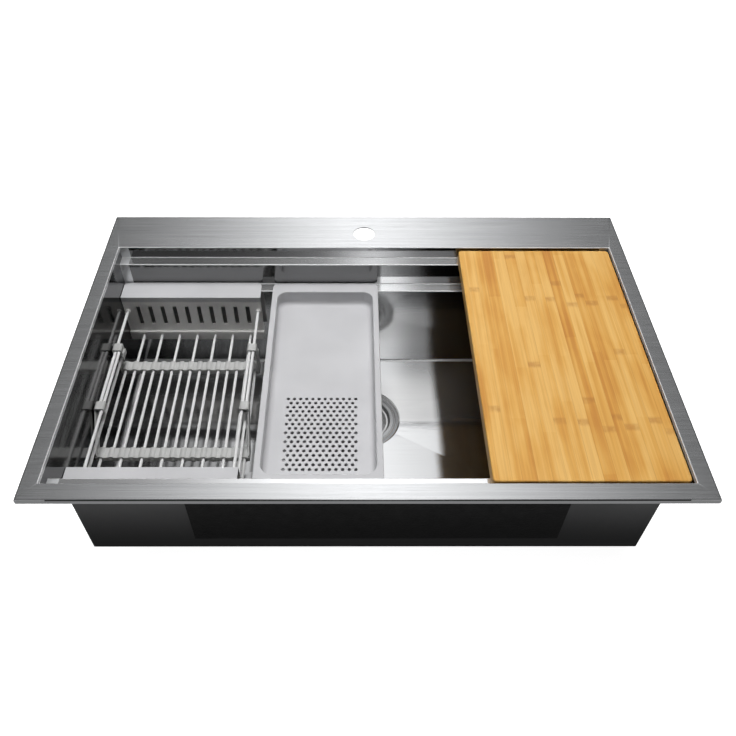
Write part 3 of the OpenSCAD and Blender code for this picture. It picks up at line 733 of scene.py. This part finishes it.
def white_floor():
    """A plain white floor and a white dome over it, which the steel doesn't mirror."""
    paper = Finish("studio_paper", Metallic=0.0, Roughness=0.9, Emission_Strength=0.95,
                   Emission_Color=(1, 1, 1, 1))
    cloud = paper.noise((3, 3, 3))
    paper.feed("Base Color", paper.ramp(cloud, [(0.3, (0.89, 0.89, 0.89)),
                                                (0.7, (0.91, 0.91, 0.91))]))
    below_drain, reach = -0.2975, 9
    bm = bmesh.new()
    bmesh.ops.create_grid(bm, x_segments=2, y_segments=2, size=reach)
    bmesh.ops.translate(bm, verts=bm.verts, vec=(0, 0, below_drain))
    floor = from_bmesh("studio_floor", bm, paper.material)
    bm = bmesh.new()
    bmesh.ops.create_uvsphere(bm, u_segments=48, v_segments=24, radius=0.95 * reach)
    under = [vert for vert in bm.verts if vert.co.z < -0.01]
    bmesh.ops.delete(bm, geom=under, context="VERTS")
    bmesh.ops.translate(bm, verts=bm.verts, vec=(0, 0, below_drain))
    dome = from_bmesh("studio_dome", bm, paper.material)
    dome.visible_diffuse = False
    dome.visible_shadow = False
    for backdrop in (floor, dome):
        backdrop.visible_glossy = False


# ---- deck and bowl ----

def deck_sheet(steel, fold_highlight_finish, edge_finish):
    """Deck: one closed skin from the hem, round the edge, over the top and into the opening."""
    w, d, hem = DECK_W, DECK_D, 0.008
    opening_w, opening_d = 2 * SIDE_X, REAR_Y - FRONT_Y
    middle = (0, (REAR_Y + FRONT_Y) / 2)
    under = DECK_TOP - SHEET
    hem_r, outer_r, inner_r, opening_r = 0.0004, 0.0015, 0.0006, 0.0012
    bottom_edge, top_edge, opening_edge = 0.0007, 0.0028, 0.0011
    loops = [rounded_loop(w - 2 * hem, d - 2 * hem, hem_r, z) for z in (SHEET, 0)]
    for back, rise in quarter_round(3):
        inset = bottom_edge * back
        loops.append(rounded_loop(w - 2 * inset, d - 2 * inset, outer_r, bottom_edge * rise))
    for drop, back in quarter_round(5):
        inset = top_edge * back
        loops.append(rounded_loop(w - 2 * inset, d - 2 * inset, outer_r,
                                  DECK_TOP - top_edge * drop))
    for back, drop in quarter_round(4):
        out = 2 * opening_edge * back
        loops.append(rounded_loop(opening_w + out, opening_d + out, opening_r,
                                  DECK_TOP - opening_edge * drop, middle))
    loops.append(rounded_loop(opening_w, opening_d, opening_r, under, middle))
    loops += [rounded_loop(w - 2 * SHEET, d - 2 * SHEET, inner_r, z) for z in (under, SHEET)]
    plate = from_bmesh("deck_plate", lofted(loops, closed=True), steel)
    bm = bmesh.new()
    bmesh.ops.create_cone(bm, cap_ends=True, segments=72, radius1=TAP_HOLE_R,
                          radius2=TAP_HOLE_R, depth=0.02,
                          matrix=Matrix.Translation((0, TAP_HOLE_Y, DECK_TOP)))
    plate = cut(plate, from_bmesh("tap_cutter", bm))
    refinish(plate, steel, fold_highlight_finish, edge_finish)
    sheet, bright, dark = 0, 1, 2

    def finish_of(centre, normal, margin=0.002):
        over_bowl = (abs(centre.x) < SIDE_X + margin
                     and FRONT_Y - margin < centre.y < REAR_Y + margin)
        if over_bowl:
            # painted highlight: the opening's bends take the pale fold finish
            return bright if centre.z > under + 0.0001 and 0.05 < normal.z < 0.98 else sheet
        # painted dark reflection: the outer top rounding takes a near-black copy of the bowl
        # steel
        return dark if centre.z > DECK_TOP - top_edge and 0.3 < normal.z < 0.8 else sheet

    face_finishes(plate, finish_of)
    stand_for(plate, "sink", "deck_steel", "deck_flange")


def folded_walls(steel, coat, fold_highlight_finish, painted_light_ledge_finish):
    """Front and rear walls with rounded folds, coated outside."""
    inside, outside, bend, ledge = 0, 1, 2, 3

    def fold(middle, along):
        along_wall = abs(along.x) > 0.9
        return 0.0013 if along_wall and FLOOR_EDGE_Z + 0.0001 < middle.z < 0.0 else 0.0

    for side, node in ((1, "bowl_rear_wall"), (-1, "bowl_front_wall")):

        def finish_of(centre, normal, s=side):
            # bends take the fold finish, a painted highlight; ledges the pale ledge steel,
            # painted light; the walls between the darker wall steel, painted shade
            if normal.z - s * normal.y <= 0.0 and abs(normal.x) < 0.9:
                return outside
            if max(abs(normal.x), abs(normal.y), abs(normal.z)) < 0.985:
                return bend
            return ledge if normal.z > 0.9 else inside

        wall = softened(node, node + "_sheet", fold, 4)
        refinish(wall, steel, coat, fold_highlight_finish, painted_light_ledge_finish)
        face_finishes(wall, finish_of)
        stand_for(wall, "sink", "bowl_steel", node)


def flat_walls(steel, coat):
    """Side walls: flat plates, coated outside."""
    for side, node in ((-1, "bowl_left_wall"), (1, "bowl_right_wall")):
        wall = softened(node, node + "_sheet", lambda c, a: 0.00005, 1)
        refinish(wall, steel, coat)
        face_finishes(wall, lambda c, n, s=side: 0 if -s * n.x > 0.9 else 1)
        stand_for(wall, "sink", "bowl_steel", node)


def sloped_floor(steel, coat):
    """Floor in four slopes, with a soft edge round the drain's recess."""
    near_recess, recess_foot = 0.064, -0.2275

    def rim(middle, along):
        from_drain = math.hypot(middle.x, middle.y - DRAIN_Y)
        return 0.0012 if from_drain < near_recess and middle.z > recess_foot else 0.0

    floor = softened("bowl_floor", "sloped_floor", rim)
    refinish(floor, steel, coat)
    face_finishes(floor, lambda c, n: 1 if n.z < -0.5 else 0)
    stand_for(floor, "sink", "bowl_steel", "bowl_floor")


def weld_fillet(steel):
    """The ground weld between the floor and the walls, a thin hollow fillet all round."""
    r, sunk, corner_r = 0.0032, -0.0002, 0.002
    section = [(0, sunk), (0, r)]
    section += [(r - r * math.sin(math.radians(a)), r - r * math.cos(math.radians(a)))
                for a in range(75, 0, -15)]
    section += [(r, 0.00005), (r, sunk)]
    loops = []
    for inset, rise in section:
        w, d = 2 * (SIDE_X - inset), LOW_REAR_Y - LOW_FRONT_Y - 2 * inset
        loops.append(rounded_loop(w, d, corner_r, FLOOR_EDGE_Z + rise, (0, BOWL_MIDDLE_Y), 3))
    fillet = from_bmesh("floor_weld", lofted(loops, closed=True), steel)
    stand_for(fillet, "sink", "bowl_steel")


def flange_rim(steel):
    """The strainer flange's rolled rim, which closes the gap to the floor's recess."""
    section = [(0.0550, -0.22585), (0.0565, -0.22560), (0.0580, -0.22545), (0.0592, -0.22562),
               (0.0599, -0.22610), (0.0594, -0.22680), (0.0580, -0.22670), (0.0565, -0.22650),
               (0.0550, -0.22620)]
    rim = from_bmesh("flange_rim", turned(section, 96), steel)
    stand_for(rim, "sink", "bright_steel")


# ---- board and colander ----

def bamboo_board(wood):
    """Board with eased edges all round."""
    foot, top, w, d, middle = extent("cutting_board")
    edge, corner_r, loops = 0.0018, 0.005, []
    eased = quarter_round(4)
    for base, sign, turn in ((foot, 1, eased), (top, -1, eased[::-1])):
        for back, rise in turn:
            inset = edge * back
            loops.append(rounded_loop(w - 2 * inset, d - 2 * inset, corner_r - 0.8 * inset,
                                      base + sign * edge * rise, middle))
    board = from_bmesh("bamboo_board", lofted(loops), wood)
    stand_for(board, "board", "bamboo", "cutting_board")


def moulded_colander(plastic):
    """Colander: a thin tub with a rounded rim, soft inner corners and rows of drain holes."""
    foot, top, w, d, middle = extent("colander")
    wall, side_rim, end_rim, rim_root = 0.0026, 0.0092, 0.0216, 0.0006
    in_w, in_d = w - 2 * side_rim, d - 2 * end_rim
    out_w, out_d = in_w + 2 * wall, in_d + 2 * wall
    outer_r, inner_r = 0.0095, 0.016
    bottom_r, edge, lip, first_row = 0.008, 0.0011, 0.0016, 0.024
    loops = []

    def ring(width, depth, radius, z):
        loops.append(rounded_loop(width, depth, radius, z, middle, 10))

    for back, rise in quarter_round(6):
        inset = (bottom_r + wall) * back
        ring(out_w - 2 * inset, out_d - 2 * inset, inner_r + wall - 0.95 * inset,
             foot + (bottom_r + wall) * rise)
    ring(out_w, out_d, inner_r + wall, top - wall - 0.0008)
    ring(out_w + 2 * rim_root, out_d + 2 * rim_root, inner_r + wall, top - wall)
    for back, rise in quarter_round(4):
        inset = edge * back
        ring(w - 2 * inset, d - 2 * inset, outer_r - 0.8 * inset, top - wall + edge * rise)
    for drop, back in quarter_round(4):
        inset = edge * back
        ring(w - 2 * inset, d - 2 * inset, outer_r - 0.8 * inset, top - edge * drop)
    for back, drop in quarter_round(5):
        out = 2 * lip * back
        ring(in_w + out, in_d + out, inner_r + out / 2, top - lip * drop)
    for rise, back in quarter_round(6):
        inset = bottom_r * back
        ring(in_w - 2 * inset, in_d - 2 * inset, inner_r - 0.95 * inset,
             foot + wall + bottom_r * rise)
    tub = from_bmesh("colander_tub", lofted(loops), plastic)
    first_hole = (middle[0], middle[1] - in_d / 2 + first_row, foot + wall / 2)
    tub = cut(tub, drain_hole_cutters(plastic, first_hole))
    stand_for(tub, "drain_tray", "tray_plastic", "colander")


def hole_grid(name, finish, columns, rows, step, centre):
    """Round pins that cut a grid of holes. step is the distance along X and along Y."""
    plan = Pattern(name, Columns=columns, Rows=rows, Width=(columns - 1) * step[0],
                   Length=(rows - 1) * step[1], Centre=centre, Radius=0.0025, Depth=0.008,
                   Sides=16, Finish=finish)
    grid = plan.node("GeometryNodeMeshGrid", {
        "Size X": plan.given("Width"), "Size Y": plan.given("Length"),
        "Vertices X": plan.given("Columns"), "Vertices Y": plan.given("Rows")})
    placed = plan.node("GeometryNodeSetPosition", {"Geometry": grid,
                                                   "Offset": plan.given("Centre")})
    pin = plan.node("GeometryNodeMeshCylinder", {
        "Vertices": plan.given("Sides"), "Radius": plan.given("Radius"),
        "Depth": plan.given("Depth")})
    plan.close(plan.node("GeometryNodeInstanceOnPoints", {"Points": placed, "Instance": pin}))
    return plan.piece(name)


def drain_hole_cutters(finish, first_hole):
    """Pins for the colander's drain holes, from the middle of the front row. The rows lie half a
    step apart in turn, which makes two grids about one centre, one a row and a column smaller."""
    columns, rows, pitch = 12, 9, 0.009
    step = (pitch, 2 * pitch * math.sin(math.radians(60)))
    x, y, z = first_hole
    centre = (x, y + (rows - 1) / 2 * step[1], z)
    return joined("hole_cutters", [
        hole_grid("outer_pins", finish, columns, rows, step, centre),
        hole_grid("inner_pins", finish, columns - 1, rows - 1, step, centre)])


# ---- dish rack ----

def rod_pattern(name, finish, count, first, step, length):
    """A row of round rods along Y with chamfered ends."""
    plan = Pattern(name, Count=count, First=first, Step=step, Radius=ROD_R, Length=length,
                   Tip=ROD_TIP, Sides=24, Finish=finish)
    radius, whole, tip = plan.given("Radius"), plan.given("Length"), plan.given("Tip")
    # Points 0 and 3 are the rod's ends, and 1 and 2 lie a tip's length inside them
    point = plan.node("GeometryNodeInputIndex")
    at_end = (point - 1.5).size().beyond(1.0)
    from_end = tip * (1.0 - at_end)
    along = from_end + point.beyond(1.5) * (whole - from_end * 2.0)
    spine = plan.node("GeometryNodeMeshLine", {"Count": 4})
    place = plan.node("ShaderNodeCombineXYZ", {"Y": along})
    placed = plan.node("GeometryNodeSetPosition", {"Geometry": spine, "Position": place})
    curve = plan.node("GeometryNodeMeshToCurve", [placed])
    ring = plan.node("GeometryNodeCurvePrimitiveCircle", {"Resolution": plan.given("Sides"),
                                                          "Radius": radius})
    rod = plan.node("GeometryNodeCurveToMesh", {
        "Curve": curve, "Profile Curve": ring, "Scale": 1.0 - at_end * (tip / radius),
        "Fill Caps": True})
    row = plan.node("GeometryNodeMeshLine", {
        "Count": plan.given("Count"), "Start Location": plan.given("First"),
        "Offset": plan.given("Step")})
    plan.close(plan.node("GeometryNodeInstanceOnPoints", {"Points": row, "Instance": rod}))
    return plan.piece(name)


def rack_rods(steel):
    """Both halves' rods: low rods in a row, side rods and middle rods in pairs."""
    low_z, side_z, mid_z = -0.1315, -0.079, -0.100
    rear_socket, front_socket = 0.1410, -0.1940
    rear_strip, front_strip, rear_collar, front_collar = 0.069, -0.122, 0.059, -0.074
    halves = (("rack_rear_half", "rear_rods", "rack_rear_rods",
               (("rear_low_rods", 7, 0.09, low_z, front_strip, rear_socket),
                ("rear_side_rods", 2, 0.1074, side_z, front_collar, rear_socket))),
              ("rack_front_half", "front_rods", "rack_front_rods",
               (("front_low_rods", 8, 0.105, low_z, front_socket, rear_strip),
                ("front_side_rods", 2, 0.1018, side_z, front_socket, rear_collar),
                ("front_middle_rods", 2, 0.1046, mid_z, front_socket, rear_strip))))
    for body, all_rods, node, rows in halves:
        made = []
        for name, count, reach, z, front_y, rear_y in rows:
            step = (2 * reach / (count - 1), 0.0, 0.0)
            made.append(rod_pattern(name, steel, count, (RACK_X - reach, front_y, z), step,
                                    rear_y - front_y))
        stand_for(joined(all_rods, made), body, "bright_steel", node)


def rack_plastic(tray, strip):
    """Ends, strips and collars of the rack with rounded edges, the collars' the roundest."""
    collar_foot, collar_reach, collar_round = -0.088, 0.095, 0.0038
    for node, body, finish, slot, width in (
            ("rack_rear_end", "rack_rear_half", tray, "tray_plastic", 0.0006),
            ("rack_front_end", "rack_front_half", tray, "tray_plastic", 0.0006),
            ("rack_front_strip", "rack_rear_half", strip, "strip_plastic", 0.0005),
            ("rack_rear_strip", "rack_front_half", strip, "strip_plastic", 0.0005)):

        def ease(middle, along, strips=slot == "strip_plastic", w=width):
            collar = strips and middle.z > collar_foot and abs(middle.x - RACK_X) > collar_reach
            return collar_round if collar and abs(along.y) > 0.9 else w

        piece = softened(node, node + "_moulding", ease, 3, clamp=slot == "tray_plastic")
        refinish(piece, finish)
        stand_for(piece, body, slot, node)


# ---- the whole part ----

add_camera()
add_studio()
white_floor()

deck_finish, coat_finish, fold_highlight_finish = brushed_deck(), undercoat(), painted_highlight_fold()
# Copies of the bowl steel in tones for lit and shaded places: the ledges' is pale and partly
# matt, painted light; the walls' is darker, painted shade; the side walls' and the deck's outer
# rounding near black, painted dark reflection; the floor's carries painted light and shade.
edge_finish = bowl_steel("rounded_edge_steel", 0.11)
painted_light_ledge_finish = bowl_steel("ledge_steel", 0.93, metallic=0.81, painted_light_share=painted_ledge_shade)
painted_shade_wall_finish = bowl_steel("wall_steel", 0.46, painted_light_share=painted_wall_light)
painted_dark_side_finish = bowl_steel("side_wall_steel", 0.11, lines="Y")
floor_finish = bowl_steel("floor_steel", 0.84, painted_light_share=painted_shade_under_rack, milky=painted_light_round_drain)
pad_finish, rubber_finish = granular_rubber(), soft_rubber()
turned_finish = turned_steel("turned_flange_steel", 0.46, 0.85)
# The cup's copy of the turned steel is paler and mostly matt: painted light in the drain's
# recess.
painted_light_cup_finish, rod_finish = turned_steel("turned_cup_steel", 0.80, 0.28), drawn_rod()
light_grey = ((0.56, 0.56, 0.575), (0.61, 0.61, 0.625))
tray_finish = moulded_plastic("light_grey_tray_plastic", *light_grey, 0.36)
end_finish = moulded_plastic("light_grey_end_plastic", *light_grey, 0.36, painted_light_below=-0.057)
strip_finish = moulded_plastic("pale_grey_strip_plastic", (0.475, 0.478, 0.47),
                               (0.54, 0.543, 0.535), 0.40)

deck_sheet(deck_finish, fold_highlight_finish, edge_finish)
folded_walls(painted_shade_wall_finish, coat_finish, fold_highlight_finish, painted_light_ledge_finish)
flat_walls(painted_dark_side_finish, coat_finish)
sloped_floor(floor_finish, coat_finish)
weld_fillet(fold_highlight_finish)
flange_rim(turned_finish)
bamboo_board(bamboo_strips())
moulded_colander(tray_finish)
rack_rods(rod_finish)
rack_plastic(end_finish, strip_finish)
dress(mill_steel(), "clip_channels")
dress(pad_finish, "front_sound_pad", "rear_sound_pad", "side_sound_pads", "floor_sound_pads")
dress(turned_finish, "strainer_body", "locknut")
dress(painted_light_cup_finish, "basket_cup", "basket_post", "basket_knob")
dress(rubber_finish, "flange_gasket", "floor_gasket", "basket_stopper")
dress(pressed_fibre(), "friction_ring")
